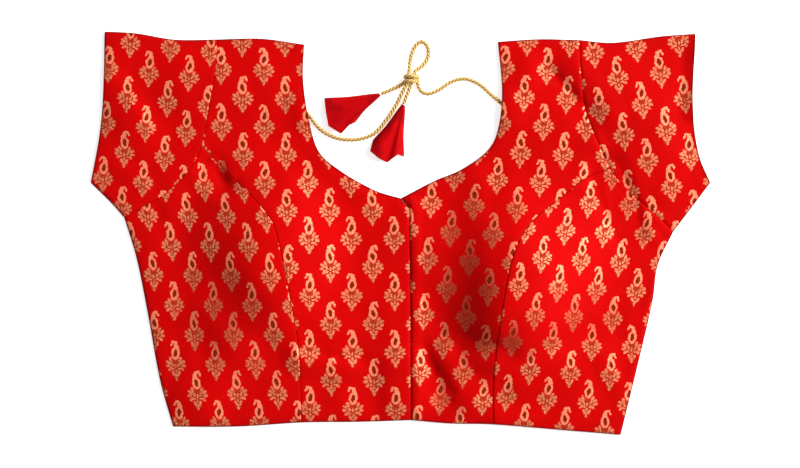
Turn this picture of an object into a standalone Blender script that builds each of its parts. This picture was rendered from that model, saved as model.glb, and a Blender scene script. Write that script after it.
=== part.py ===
"""Choli blouse laid flat with its front up: a princess-seamed front that closes at the centre, a
deep-necked back, two short sleeves pressed flat, and a twisted tie cord with two cloth tassels,
bowed inside the neck. +Y is the shoulder end, +X the wearer's left, and +Z is up from the table.
"""

import math

import bmesh
import bpy
import numpy as np
from mathutils import Vector
from mathutils.geometry import delaunay_2d_cdt

# Driving sizes. The seam tables and all lengths are in millimetres until an object is made.
MM = 0.001
WALL = 1.2
SEAM_GAP = 0.3
EDGE_LOFT = 0.4
AIR_LOFT = 2.6
AIR_REACH = 30.0
HEM_PRESS = 0.85
HEM_REACH = 16.0
FRONT_SPACING = 17.0
BACK_SPACING = 34.0
SEAM_STEP = 12.0
SLEEVE_STATIONS = 6
FOLD_INSET = 1.5

CORD_DIAMETER = 3.8
CORD_POINT_STEP = 8.5
KNOT_SIZE = (12.4, 13.6, 9.0)
KNOT_CENTRE = (10.0, 143.6, 4.7)

# The seams and edges of each half, as points (x, y) that a smooth line passes through. Each runs
# up from the hem, out from the centre, or down from the shoulder.
CENTRE_EDGE = [(9.6, -172.6), (9.1, -57.0), (7.9, 22.0)]

RIGHT = {
    "hem": [(9.6, -172.6), (-37.0, -174.2), (-91.5, -174.8), (-148.0, -178.4), (-210.0, -178.6)],
    "princess": [
        (-91.5, -174.8), (-93.4, -111.0), (-101.0, -62.0), (-112.7, -4.0),
        (-122.0, 17.0), (-143.0, 39.6), (-167.0, 62.6), (-183.6, 81.0),
    ],
    "neck": [
        (0.3, 32.0), (-24.4, 39.8), (-55.7, 57.6), (-75.9, 76.4),
        (-85.0, 108.0), (-89.8, 142.0), (-88.8, 174.0),
    ],
    "shoulder": [(-88.8, 174.0), (-128.0, 179.4), (-168.8, 178.8)],
    "armhole": [
        (-168.8, 178.8), (-171.0, 150.0), (-177.6, 112.0), (-183.6, 81.0),
        (-194.4, 59.0), (-217.6, 36.0), (-242.0, 22.0), (-255.0, 14.0),
    ],
    "side": [(-255.0, 14.0), (-243.3, -24.8), (-233.0, -76.0), (-222.2, -135.0), (-210.0, -178.6)],
    "sleeve_top": [(-168.8, 178.8), (-208.0, 178.6), (-244.0, 184.4), (-272.8, 186.1)],
    "sleeve_hem": [(-272.8, 186.1), (-273.9, 131.6), (-277.6, 90.2), (-285.7, 46.0)],
    "sleeve_under": [(-255.0, 14.0), (-268.0, 28.6), (-285.7, 46.0)],
    "back_neck": [(-88.8, 174.0), (-96.0, 150.0), (-95.0, 104.0), (-84.0, 66.0), (-46.0, 26.0), (0.0, 10.0)],
}
LEFT = {
    "hem": [(9.6, -172.6), (45.5, -175.7), (86.0, -176.6), (140.0, -181.0), (203.2, -186.3)],
    "princess": [
        (86.0, -176.6), (85.6, -136.0), (92.0, -76.0), (102.0, -24.0),
        (118.0, 8.0), (148.0, 33.0), (170.0, 50.0), (193.6, 59.6),
    ],
    "neck": [
        (0.3, 32.0), (31.7, 48.4), (56.0, 58.6), (80.4, 76.4),
        (90.0, 97.0), (93.4, 131.6), (89.7, 176.6),
    ],
    "shoulder": [(89.7, 176.6), (128.0, 179.0), (165.1, 178.2)],
    "armhole": [
        (165.1, 178.2), (166.0, 150.0), (171.6, 110.0), (193.6, 59.6),
        (211.0, 38.4), (226.0, 24.6), (240.0, 12.6), (251.6, 1.0),
    ],
    "side": [(251.6, 1.0), (237.4, -30.0), (232.0, -66.0), (217.0, -130.0), (203.2, -186.3)],
    "sleeve_top": [(165.1, 178.2), (197.0, 175.8), (240.0, 181.6), (271.9, 184.0)],
    "sleeve_hem": [(271.9, 184.0), (269.0, 120.0), (274.6, 74.0), (285.7, 46.0)],
    "sleeve_under": [(251.6, 1.0), (268.0, 22.4), (285.7, 46.0)],
    "back_neck": [(89.7, 176.6), (99.0, 150.0), (98.0, 104.0), (88.0, 66.0), (48.0, 26.0), (0.0, 10.0)],
}
# Where the princess seam ends in its two cross seams, as a row of their tables.
PRINCESS_ROW = {"hem": 2, "armhole": 3}

# The shaped bust on each side: (centre x, centre y, half width toward -x, half width toward +x,
# half length, height).
BUSTS = [
    (-122.0, -28.0, 88.0, 84.0, 112.0, 16.5),
    (106.0, -40.0, 90.0, 104.0, 98.0, 17.5),
    (100.0, -98.0, 62.0, 100.0, 62.0, 6.5),
]
# The ridge that the left princess seam stands up in: (middle y, half length, reach toward -x,
# reach toward +x, height).
SEAM_RIDGE = (-60.0, 92.0, 72.0, 80.0, 5.5)
# The largest folds: (start x, start y, end x, end y, half width, height). Below zero is a trough.
FOLDS = [
    (-174.0, 62.0, -162.0, 44.0, 10.0, -2.8),
    (-186.0, 10.0, -172.0, -44.0, 17.0, -1.4),
    (-160.0, -56.0, -122.0, -108.0, 15.0, -2.0),
    (-54.0, 76.0, -96.0, 44.0, 18.0, 2.2),
    (-94.0, -117.0, -48.0, -125.0, 10.0, 2.2),
    (-158.0, -112.0, -188.0, -152.0, 18.0, 2.4),
    (-30.0, -150.0, -34.0, -96.0, 16.0, -1.8),
    (44.0, 34.0, 50.0, -88.0, 18.0, -3.3),
    (58.0, -98.0, 96.0, -108.0, 9.0, -2.6),
    (40.0, -116.0, 63.0, -152.0, 10.0, 2.4),
    (21.0, -106.0, 38.0, -148.0, 9.0, -2.2),
    (190.0, 54.0, 208.0, 6.0, 14.0, -4.8),
    (140.0, 148.0, 172.0, 112.0, 12.0, -1.8),
    (160.0, 150.0, 190.0, 108.0, 11.0, 2.2),
    (112.0, -118.0, 168.0, -96.0, 13.0, -2.0),
    (118.0, -138.0, 184.0, -112.0, 13.0, 2.0),
    (60.0, 44.0, 30.0, -30.0, 16.0, 2.4),
    (-268.0, 134.0, -236.0, 88.0, 13.0, 1.5),
    (-244.0, 158.0, -212.0, 100.0, 14.0, -1.1),
    (200.0, 150.0, 236.0, 84.0, 20.0, 2.4),
]
# The tie cord lifts the neck edge where it comes out from under it: (x, y, half width, height).
CORD_LIFTS = [(-90.0, 113.0, 26.0, 3.4), (94.0, 115.0, 26.0, 3.4)]

# Routes of the cord's stretches, as points (x, y, height of the cord's middle).
CORD_ROUTES = {
    "dori_right": [
        (-92.0, 117.4, 2.0), (-84.2, 108.4, 2.0), (-73.6, 95.4, 2.0), (-58.4, 87.6, 2.0),
        (-40.0, 86.4, 2.0), (-24.6, 91.6, 2.0), (-13.2, 104.0, 2.2), (-5.2, 116.0, 3.2),
        (0.4, 127.0, 4.8), (4.6, 135.4, 5.7),
    ],
    "dori_loop": [
        (7.6, 151.8, 4.4), (9.4, 161.6, 2.4), (13.4, 172.2, 2.0), (19.4, 177.0, 2.0),
        (25.0, 172.2, 2.0), (25.8, 162.6, 2.0), (21.0, 154.8, 2.6), (16.6, 150.8, 3.6),
    ],
    "dori_right_tail": [(9.2, 135.6, 4.4), (6.2, 127.8, 3.0), (3.8, 121.4, 2.2)],
    "dori_left": [
        (95.4, 117.4, 2.0), (84.6, 127.0, 2.0), (72.4, 137.6, 2.0), (59.0, 142.4, 2.0),
        (46.8, 139.4, 2.0), (36.0, 132.4, 2.0), (26.4, 128.6, 2.0), (18.9, 130.4, 2.4),
        (15.4, 135.8, 4.0),
    ],
    "dori_left_tail": [(2.8, 140.4, 2.2), (-2.6, 135.6, 2.0), (-9.4, 131.6, 2.0), (-17.0, 128.8, 2.0)],
}
# Each tassel is a folded cloth cone lying flat: its tip, the corners of its two long edges, and
# how far each corner of its zigzag hem reaches from the tip, as points from one edge to the other.
TASSELS = {
    "tassel_left": {
        "tip": (-19.6, 128.0),
        "hem": [(-70.2, 124.8), (-68.6, 111.0), (-66.3, 98.8), (-54.7, 91.8), (-48.0, 99.4), (-42.0, 102.0)],
    },
    "tassel_right": {
        "tip": (2.8, 118.2),
        "hem": [(3.4, 70.6), (-2.4, 72.8), (-12.0, 65.2), (-20.0, 69.0), (-28.1, 75.8), (-25.4, 86.0)],
    },
}
TASSEL_RISE = 6.4
TASSEL_TIP_WIDTH = 3.4
TASSEL_TIP_RISE = 3.6
TASSEL_STATIONS = 5

# Material colours are linear.
RED_BROCADE = (0.72, 0.006, 0.008, 1.0)
RED_PLAIN = (0.68, 0.004, 0.008, 1.0)
GOLD_CORD = (0.62, 0.36, 0.10, 1.0)


def smooth_line(points, step):
    """A Catmull-Rom line through the points, and the index in it of each of them."""
    knots = np.array(points, float)
    before = 2 * knots[0] - knots[1]
    after = 2 * knots[-1] - knots[-2]
    knots = np.vstack([before, knots, after])
    line = [knots[1]]
    rows = [0]
    for p0, p1, p2, p3 in zip(knots[:-3], knots[1:-2], knots[2:-1], knots[3:]):
        count = max(1, round(float(np.linalg.norm(p2 - p1)) / step))
        for t in np.arange(1, count + 1) / count:
            bend = (2 * p0 - 5 * p1 + 4 * p2 - p3) * t**2 + (3 * p1 - p0 - 3 * p2 + p3) * t**3
            line.append(0.5 * (2 * p1 + (p2 - p0) * t + bend))
        rows.append(len(line) - 1)
    return np.array(line), rows


def seam(side, name, step=SEAM_STEP):
    return smooth_line(side[name], step)[0]


def split_seam(side, name, step=SEAM_STEP):
    """The two halves of a seam that the princess seam ends in."""
    line, rows = smooth_line(side[name], step)
    middle = rows[PRINCESS_ROW[name]]
    return line[: middle + 1], line[middle:]


def outline_of(*lines):
    """One closed loop of points from lines that follow each other end to end."""
    loop = [lines[0][0]]
    for line in lines:
        for point in line:
            if np.linalg.norm(point - loop[-1]) > 0.01:
                loop.append(point)
    if np.linalg.norm(loop[0] - loop[-1]) < 0.01:
        loop.pop()
    loop = np.array(loop)
    following = np.roll(loop, -1, axis=0)
    area = np.sum(loop[:, 0] * following[:, 1] - following[:, 0] * loop[:, 1])
    return loop if area > 0 else loop[::-1]


def inset(loop, amount):
    """The anticlockwise loop moved inward by the amount, with mitred corners."""
    ahead = np.roll(loop, -1, axis=0) - loop
    ahead /= np.linalg.norm(ahead, axis=1)[:, None]
    normal_ahead = np.stack([-ahead[:, 1], ahead[:, 0]], axis=1)
    normal_behind = np.roll(normal_ahead, 1, axis=0)
    bisector = normal_ahead + normal_behind
    bisector /= np.linalg.norm(bisector, axis=1)[:, None]
    share = np.maximum(np.sum(bisector * normal_ahead, axis=1), 0.2)
    return loop + bisector * (amount / share)[:, None]


def distance_to(points, line):
    """How far each point is from the nearest place on the line."""
    start = line[:-1]
    along = line[1:] - start
    offset = points[:, None] - start
    share = np.sum(offset * along, axis=2) / np.sum(along * along, axis=1)
    nearest = np.clip(share, 0, 1)[..., None] * along
    return np.linalg.norm(offset - nearest, axis=2).min(axis=1)


def inside(points, loop):
    """Whether each point is inside the loop, by the crossings of a ray along +X."""
    start = loop
    end = np.roll(loop, -1, axis=0)
    x, y = points[:, None, 0], points[:, None, 1]
    spans = (start[:, 1] > y) != (end[:, 1] > y)
    rise = np.where(end[:, 1] == start[:, 1], 1.0, end[:, 1] - start[:, 1])
    crossing = start[:, 0] + (y - start[:, 1]) * (end[:, 0] - start[:, 0]) / rise
    return np.sum(spans & (x < crossing), axis=1) % 2 == 1


SEWN_EDGES = [
    seam(side, name) for side in (RIGHT, LEFT) for name in ("side", "shoulder", "sleeve_top", "sleeve_under")
]
OPEN_EDGES = [seam(side, name) for side in (RIGHT, LEFT) for name in ("hem", "sleeve_hem", "neck")]
RIDGE_LINE = seam(LEFT, "princess")


def bump(share):
    """A smooth hill: 1 where the share is 0, and 0 from 1 outward."""
    return np.clip(1 - share**2, 0, 1) ** 2


def ridge_loft(points):
    """The height of the ridge along the left princess seam, with its crest on the seam."""
    x, y = points[:, 0], points[:, 1]
    middle, half_length, low_reach, high_reach, height = SEAM_RIDGE
    distance = distance_to(points, RIDGE_LINE)
    before_seam = x < np.interp(y, RIDGE_LINE[:, 1], RIDGE_LINE[:, 0])
    low_side = np.clip(1 - distance / low_reach, 0, 1) ** 2
    return height * bump((y - middle) / half_length) * np.where(before_seam, low_side, bump(distance / high_reach))


def front_top(points):
    """Height of the front's upper face above the table."""
    x, y = points[:, 0], points[:, 1]
    edge = np.min([distance_to(points, line) for line in SEWN_EDGES], axis=0)
    hem = np.min([distance_to(points, line) for line in OPEN_EDGES], axis=0)
    pressed = 1 - HEM_PRESS * np.exp(-hem / HEM_REACH)
    loft = EDGE_LOFT + AIR_LOFT * (1 - np.exp(-edge / AIR_REACH)) * pressed
    for centre_x, centre_y, low_width, high_width, half_length, height in BUSTS:
        half_width = np.where(x < centre_x, low_width, high_width)
        loft += height * bump(np.hypot((x - centre_x) / half_width, (y - centre_y) / half_length))
    loft += ridge_loft(points)
    for start_x, start_y, end_x, end_y, half_width, height in FOLDS:
        fold = np.array([(start_x, start_y), (end_x, end_y)])
        share = distance_to(points, fold) / (2 * half_width)
        loft += height * bump(share) * (1 - np.exp(-edge / half_width))
    for centre_x, centre_y, half_width, height in CORD_LIFTS:
        loft += height * bump(np.hypot(x - centre_x, y - centre_y) / half_width)
    return 2 * WALL + SEAM_GAP + np.maximum(loft, 0)


def back_top(points):
    return np.full(len(points), WALL)


def add_material(name, colour, roughness, metallic=0.0):
    material = bpy.data.materials.new(name)
    material.use_nodes = True
    shader = material.node_tree.nodes["Principled BSDF"]
    shader.inputs["Base Color"].default_value = colour
    shader.inputs["Roughness"].default_value = roughness
    shader.inputs["Metallic"].default_value = metallic
    material.diffuse_color = colour
    return material


def add_object(name, mesh, material, collection):
    obj = bpy.data.objects.new(name, mesh)
    obj.data.materials.append(material)
    collection.objects.link(obj)
    return obj


def mesh_from(bm, name):
    bmesh.ops.recalc_face_normals(bm, faces=bm.faces)
    bmesh.ops.triangulate(bm, faces=bm.faces)
    mesh = bpy.data.meshes.new(name)
    bm.to_mesh(mesh)
    bm.free()
    return mesh


def add_panel(name, loop, top_of, spacing, material, collection):
    """A cloth wall of one cut panel: its outline filled with triangles, lifted, and thickened."""
    loop = inset(loop, SEAM_GAP / 2)
    low, high = loop.min(axis=0), loop.max(axis=0)
    row_step = spacing * math.sqrt(0.75)
    rows = np.arange(low[1], high[1], row_step)
    lattice = [
        (x + spacing / 2 * (row % 2), y)
        for row, y in enumerate(rows)
        for x in np.arange(low[0], high[0], spacing)
    ]
    lattice = np.array(lattice)
    closed = np.vstack([loop, loop[:1]])
    lattice = lattice[inside(lattice, loop) & (distance_to(lattice, closed) > 0.55 * spacing)]
    flat = [Vector(point) for point in np.vstack([loop, lattice])]
    corners, _, faces = delaunay_2d_cdt(flat, [], [list(range(len(loop)))], 1, 1e-4)[:3]
    corners = np.array([tuple(corner) for corner in corners])
    heights = top_of(corners)
    bm = bmesh.new()
    upper = [bm.verts.new((x * MM, y * MM, z * MM)) for (x, y), z in zip(corners, heights)]
    for face in faces:
        bm.faces.new([upper[index] for index in face])
    lower = bmesh.ops.extrude_face_region(bm, geom=bm.faces[:], use_keep_orig=True)["geom"]
    lower = [item for item in lower if isinstance(item, bmesh.types.BMVert)]
    bmesh.ops.translate(bm, verts=lower, vec=(0, 0, -WALL * MM))
    add_object(name, mesh_from(bm, name), material, collection)


def add_tube_wall(name, outer, inner, material, collection):
    """A closed wall between two stacks of rings: the same rings outside and inside, joined at
    both open ends."""
    bm = bmesh.new()
    skins = [[[bm.verts.new(Vector(p) * MM) for p in ring] for ring in stack] for stack in (outer, inner)]
    bands = [pair for skin in skins for pair in zip(skin, skin[1:])]
    bands += [(skins[0][end], skins[1][end]) for end in (0, -1)]
    for first, second in bands:
        for index, corner in enumerate(first):
            after = (index + 1) % len(first)
            bm.faces.new((corner, first[after], second[after], second[index]))
    add_object(name, mesh_from(bm, name), material, collection)


def flat_ring(line, top, fold_inset):
    """Rings outside and inside of a pressed tube, over the plan points from fold to fold."""
    first_fold = line[1] - line[0]
    last_fold = line[-2] - line[-1]
    toward_first = line[0] + first_fold / np.linalg.norm(first_fold) * fold_inset
    toward_last = line[-1] + last_fold / np.linalg.norm(last_fold) * fold_inset
    run = np.vstack([toward_first, line[1:-1], toward_last])
    heights = top(run)
    middle = min(heights[0], heights[-1]) / 2
    upper = [(x, y, z) for (x, y), z in zip(run, heights)]
    lower = [(x, y, 0.0) for x, y in run[::-1]]
    outer = [(*line[0], middle), *upper, (*line[-1], middle), *lower]
    inner_first = line[0] + first_fold / np.linalg.norm(first_fold) * WALL
    inner_last = line[-1] + last_fold / np.linalg.norm(last_fold) * WALL
    upper = [(x, y, z - WALL) for x, y, z in upper]
    lower = [(x, y, WALL) for x, y, _ in lower]
    inner = [(*inner_first, middle), *upper, (*inner_last, middle), *lower]
    return outer, inner


def add_sleeve(name, side, material, collection):
    """A short sleeve pressed flat: folded at its top, sewn beneath, open at armhole and hem."""
    armhole = seam(side, "armhole")
    share = np.linspace(0, 1, len(armhole))
    hem_line = seam(side, "sleeve_hem", 2.0)
    hem_share = np.linspace(0, 1, len(hem_line))
    hem = np.stack([np.interp(share, hem_share, hem_line[:, axis]) for axis in (0, 1)], axis=1)
    outward = math.copysign(1.0, armhole[0][0])
    outer, inner = [], []
    for station in np.linspace(0, 1, SLEEVE_STATIONS):
        line = armhole * (1 - station) + hem * station
        for row, edge in ((0, "sleeve_top"), (-1, "sleeve_under")):
            edge_line = seam(side, edge, 2.0)
            edge_share = np.linspace(0, 1, len(edge_line))
            line[row] = [np.interp(station, edge_share, edge_line[:, axis]) for axis in (0, 1)]
        if station == 0:
            normal = np.gradient(armhole, axis=0)
            normal = np.stack([-normal[:, 1], normal[:, 0]], axis=1)
            normal /= np.linalg.norm(normal, axis=1)[:, None]
            line = line + outward * normal * SEAM_GAP / 2
        rings = flat_ring(line, front_top, FOLD_INSET)
        outer.append(rings[0])
        inner.append(rings[1])
    add_tube_wall(name, outer, inner, material, collection)


def add_tassel(name, shape, material, collection):
    """A folded cone of cloth, from the cord's end to its zigzag hem."""
    tip = np.array(shape["tip"], float)
    hem = np.array(shape["hem"], float)
    across = hem[-1] - hem[0]
    across /= np.linalg.norm(across)
    spread = np.linspace(-0.5, 0.5, len(hem))[:, None]
    collar = tip + across * spread * TASSEL_TIP_WIDTH
    arch = bump(np.linspace(-0.86, 0.86, len(hem)))
    outer, inner = [], []
    for station in np.linspace(0, 1, TASSEL_STATIONS):
        line = collar * (1 - station) + hem * station
        rise = TASSEL_TIP_RISE + (TASSEL_RISE - TASSEL_TIP_RISE) * station
        heights = 2 * WALL + SEAM_GAP + (rise - 2 * WALL - SEAM_GAP) * arch
        fold_inset = 0.5 + 0.9 * station
        wall_line = np.vstack([line[:1], line, line[-1:]])
        wall_line[1] += (line[1] - line[0]) * 0.3
        wall_line[-2] += (line[-2] - line[-1]) * 0.3
        tops = np.concatenate([heights[:1], heights, heights[-1:]])
        rings = flat_ring(wall_line, lambda run, tops=tops: tops, fold_inset)
        outer.append(rings[0])
        inner.append(rings[1])
    add_tube_wall(name, outer, inner, material, collection)


def add_cord(name, route, material, collection):
    """A stretch of the tie cord, as a plain tube along a smooth route."""
    line = smooth_line(route, CORD_POINT_STEP)[0] * MM
    curve = bpy.data.curves.new(name, "CURVE")
    curve.dimensions = "3D"
    curve.bevel_depth = CORD_DIAMETER / 2 * MM
    curve.bevel_resolution = 2
    curve.use_fill_caps = True
    spline = curve.splines.new("POLY")
    spline.points.add(len(line) - 1)
    for point, place in zip(spline.points, line):
        point.co = (*place, 1.0)
    add_object(name, curve, material, collection)


def add_knot(name, material, collection):
    """The knot that draws the cord's stretches together."""
    bm = bmesh.new()
    bmesh.ops.create_uvsphere(bm, u_segments=16, v_segments=10, radius=0.5)
    bmesh.ops.scale(bm, verts=bm.verts, vec=Vector(KNOT_SIZE) * MM)
    bmesh.ops.translate(bm, verts=bm.verts, vec=Vector(KNOT_CENTRE) * MM)
    add_object(name, mesh_from(bm, name), material, collection)


def main():
    for obj in list(bpy.data.objects):
        bpy.data.objects.remove(obj)
    blouse = bpy.data.collections.new("choli_blouse")
    bpy.context.scene.collection.children.link(blouse)
    brocade = add_material("brocade", RED_BROCADE, 0.45)
    plain = add_material("plain_red", RED_PLAIN, 0.6)
    gold = add_material("gold_cord", GOLD_CORD, 0.4, 0.5)

    centre = smooth_line(CENTRE_EDGE, SEAM_STEP)[0]
    for name, side in (("right", RIGHT), ("left", LEFT)):
        hem_centre, hem_side = split_seam(side, "hem")
        armhole_upper, armhole_lower = split_seam(side, "armhole")
        princess = seam(side, "princess")
        neck = seam(side, "neck")
        centre_front = outline_of(
            hem_centre[::-1], centre, neck, seam(side, "shoulder"), armhole_upper, princess[::-1]
        )
        side_front = outline_of(hem_side, seam(side, "side")[::-1], armhole_lower[::-1], princess[::-1])
        add_panel(name + "_centre_front", centre_front, front_top, FRONT_SPACING, brocade, blouse)
        add_panel(name + "_side_front", side_front, front_top, FRONT_SPACING, brocade, blouse)
        add_sleeve(name + "_sleeve", side, brocade, blouse)
    halves = [
        [seam(side, name) for name in ("hem", "side", "armhole", "shoulder", "back_neck")]
        for side in (RIGHT, LEFT)
    ]
    (hem, side_seam, armhole, shoulder, neck), others = halves
    back = outline_of(
        hem, side_seam[::-1], armhole[::-1], shoulder[::-1], neck,
        others[4][::-1], others[3], others[2], others[1], others[0][::-1],
    )
    add_panel("back", back, back_top, BACK_SPACING, brocade, blouse)

    for name, route in CORD_ROUTES.items():
        add_cord(name, route, gold, blouse)
    add_knot("dori_knot", gold, blouse)
    for name, shape in TASSELS.items():
        add_tassel(name, shape, plain, blouse)


main()
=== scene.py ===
"""Looks of the choli blouse: red brocade whose small peach-gold paisley buti are drawn as shader
nodes, a gold twisted tie cord in a half bow, and two folded red tassels, lying on a pale table.
"""

import math

import bpy
import numpy as np
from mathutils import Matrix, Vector, noise
from mathutils.geometry import delaunay_2d_cdt


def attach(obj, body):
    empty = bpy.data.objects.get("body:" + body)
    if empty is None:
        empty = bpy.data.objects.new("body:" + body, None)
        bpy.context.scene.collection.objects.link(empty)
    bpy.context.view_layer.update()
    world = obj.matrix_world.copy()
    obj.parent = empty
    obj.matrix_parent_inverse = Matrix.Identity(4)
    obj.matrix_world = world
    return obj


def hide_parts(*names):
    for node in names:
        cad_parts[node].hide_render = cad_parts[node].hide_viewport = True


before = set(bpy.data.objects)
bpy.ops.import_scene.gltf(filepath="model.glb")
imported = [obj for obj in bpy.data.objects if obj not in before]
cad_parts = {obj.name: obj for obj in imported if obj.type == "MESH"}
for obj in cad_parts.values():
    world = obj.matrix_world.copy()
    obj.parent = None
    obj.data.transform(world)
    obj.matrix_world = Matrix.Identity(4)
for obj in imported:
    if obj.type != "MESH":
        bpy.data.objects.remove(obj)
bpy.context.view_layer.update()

# Driving sizes. The tables and all lengths below are in millimetres until a mesh is made.
MM = 0.001
WALL = 1.2
SEAM_GAP = 0.3
SHELL = 0.9
EDGE_LOFT = 0.4
AIR_LOFT = 2.6
AIR_REACH = 30.0
HEM_PRESS = 0.85
HEM_REACH = 16.0
EDGE_STEP = 2.6
FRONT_SPACING = 2.9
BACK_SPACING = 5.0
RIM = 0.2
EDGE_RINGS = (0.9, 1.6, 2.6)
PANEL_CLEARANCE = 0.04
FOLD_RADIUS = 2.0
LEAST_UNDERSIDE = 1.35
BATCH = 4000
CORD_DIAMETER = 3.8

# The seams and edges of each half, as points (x, y) that a smooth line passes through. Each runs
# up from the hem, out from the centre, or down from the shoulder.
CENTRE_EDGE = [(9.6, -172.6), (9.1, -57), (7.9, 22)]
RIGHT = {
    "hem": [(9.6, -172.6), (-37, -174.2), (-91.5, -174.8), (-148, -178.4), (-210, -178.6)],
    "princess": [
        (-91.5, -174.8), (-93.4, -111), (-101, -62), (-112.7, -4),
        (-122, 17), (-143, 39.6), (-167, 62.6), (-183.6, 81),
    ],
    "neck": [
        (0.3, 32), (-24.4, 39.8), (-55.7, 57.6), (-75.9, 76.4),
        (-85, 108), (-89.8, 142), (-88.8, 174),
    ],
    "shoulder": [(-88.8, 174), (-128, 179.4), (-168.8, 178.8)],
    "armhole": [
        (-168.8, 178.8), (-171, 150), (-177.6, 112), (-183.6, 81),
        (-194.4, 59), (-217.6, 36), (-242, 22), (-255, 14),
    ],
    "side": [(-255, 14), (-243.3, -24.8), (-233, -76), (-222.2, -135), (-210, -178.6)],
    "sleeve_top": [(-168.8, 178.8), (-208, 178.6), (-244, 184.4), (-272.8, 186.1)],
    "sleeve_hem": [(-272.8, 186.1), (-273.9, 131.6), (-277.6, 90.2), (-285.7, 46)],
    "sleeve_under": [(-255, 14), (-268, 28.6), (-285.7, 46)],
    "back_neck": [(-88.8, 174), (-96, 150), (-95, 104), (-84, 66), (-46, 26), (0, 10)],
}
LEFT = {
    "hem": [(9.6, -172.6), (45.5, -175.7), (86, -176.6), (140, -181), (203.2, -186.3)],
    "princess": [
        (86, -176.6), (85.6, -136), (92, -76), (102, -24),
        (118, 8), (148, 33), (170, 50), (193.6, 59.6),
    ],
    "neck": [
        (0.3, 32), (31.7, 48.4), (56, 58.6), (80.4, 76.4),
        (90, 97), (93.4, 131.6), (89.7, 176.6),
    ],
    "shoulder": [(89.7, 176.6), (128, 179), (165.1, 178.2)],
    "armhole": [
        (165.1, 178.2), (166, 150), (171.6, 110), (193.6, 59.6),
        (211, 38.4), (226, 24.6), (240, 12.6), (251.6, 1),
    ],
    "side": [(251.6, 1), (237.4, -30), (232, -66), (217, -130), (203.2, -186.3)],
    "sleeve_top": [(165.1, 178.2), (197, 175.8), (240, 181.6), (271.9, 184)],
    "sleeve_hem": [(271.9, 184), (269, 120), (274.6, 74), (285.7, 46)],
    "sleeve_under": [(251.6, 1), (268, 22.4), (285.7, 46)],
    "back_neck": [(89.7, 176.6), (99, 150), (98, 104), (88, 66), (48, 26), (0, 10)],
}
PRINCESS_ROW = {"hem": 2, "armhole": 3}

# The shaped bust on each side: (centre x, centre y, half width toward -x, half width toward +x,
# half length, height).
BUSTS = [
    (-122, -28, 88, 84, 112, 16.5),
    (106, -40, 90, 104, 98, 17.5),
    (100, -98, 62, 100, 62, 6.5),
]
# The ridge that the left princess seam stands up in: (middle y, half length, reach toward -x,
# reach toward +x, height).
SEAM_RIDGE = (-60, 92, 72, 80, 5.5)
# The largest folds: (start x, start y, end x, end y, half width, height). Below zero is a trough.
FOLDS = [
    (-174, 62, -162, 44, 10, -2.8),
    (-186, 10, -172, -44, 17, -1.4),
    (-160, -56, -122, -108, 15, -2),
    (-54, 76, -96, 44, 18, 2.2),
    (-94, -117, -48, -125, 10, 2.2),
    (-158, -112, -188, -152, 18, 2.4),
    (-30, -150, -34, -96, 16, -1.8),
    (44, 34, 50, -88, 18, -3.3),
    (58, -98, 96, -108, 9, -2.6),
    (40, -116, 63, -152, 10, 2.4),
    (21, -106, 38, -148, 9, -2.2),
    (190, 54, 208, 6, 14, -4.8),
    (140, 148, 172, 112, 12, -1.8),
    (160, 150, 190, 108, 11, 2.2),
    (112, -118, 168, -96, 13, -2),
    (118, -138, 184, -112, 13, 2),
    (60, 44, 30, -30, 16, 2.4),
    (-268, 134, -236, 88, 13, 1.5),
    (-244, 158, -212, 100, 14, -1.1),
    (200, 150, 236, 84, 20, 2.4),
]
# Where the cloth lies over the tie cord: (centre x, centre y, half width, height).
CORD_LIFTS = [(-90, 113, 26, 3.4), (94, 115, 26, 3.4)]
# Where the silk of the buti is painted darker, as painted shade: (centre x, centre y, half width, half
# length, share).
PAINTED_BUTI_SHADE_PATCHES = [
    (62, -44, 34, 84, 0.9),
    (100, -96, 24, 24, 0.85),
    (156, -76, 44, 26, 0.65),
    (44, -150, 20, 20, 0.6),
    (92, 20, 24, 20, 0.5),
    (-164, 56, 17, 17, 0.8),
    (-162, -76, 40, 48, 0.55),
    (-134, -120, 34, 24, 0.35),
    (196, 36, 18, 20, 0.5),
]
# Smaller creases that only the visible cloth has, in the columns of FOLDS.
CREASES = [
    (-172, 67, -156, 52, 3.4, 1.1),
    (-168, 62, -162, 48, 4.6, -1.9),
    (-92, -108, -56, -114, 3, -1.1),
    (-56, -114, -20, -122, 4, -0.6),
    (134, 154, 158, 130, 3.6, -1.3),
    (158, 128, 176, 110, 3.4, -1),
    (60, -95, 90, -104, 2.8, -1.2),
    (22, -106, 31, -126, 3.6, -1.2),
    (31, -126, 46, -146, 3.8, -0.9),
    (196, 40, 206, 12, 4, -1.1),
    (222, 14, 236, -8, 4, 0.7),
    (-224, 20, -214, -16, 5, -0.7),
    (-250, 122, -232, 96, 5, 0.7),
    (-236, 44, -262, 60, 6, 0.7),
    (240, 36, 262, 66, 6, 0.8),
    (-196, -120, -206, -160, 7, 0.8),
    (112, -116, 150, -102, 6, -0.6),
    (180, -110, 206, -150, 7, 0.9),
    (-128, 150, -112, 96, 7, 0.7),
    (118, 156, 108, 104, 8, 0.7),
    (24, 20, 40, 42, 6, 0.6),
    (-22, 22, -44, 40, 6, 0.6),
    (-24, -130, -22, -168, 6, -0.7),
    (275, 182, 271, 112, 7, 3),
    (203, 46, 212, 12, 7, -1.8),
    (239, -46, 216, -140, 5.5, 1.6),
]
# The unevenness of the whole front, as (height, length, seed), and how near a sewn edge it fades.
WAVES = ((0.5, 52.0, 0.3), (0.32, 24.0, 4.1))
WAVE_FADE = 20.0

# The sewn lines on the front: (side, name, depth and width of their groove, how much they pucker).
SEAM_LOOKS = [
    (RIGHT, "princess", 0.15, 0.9, 0.08),
    (LEFT, "princess", 0.25, 1.0, 0.14),
    (RIGHT, "armhole", 0.15, 0.9, 0.08),
    (LEFT, "armhole", 0.55, 1.2, 0.16),
]
PUCKER_REACH = 5.0
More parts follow.
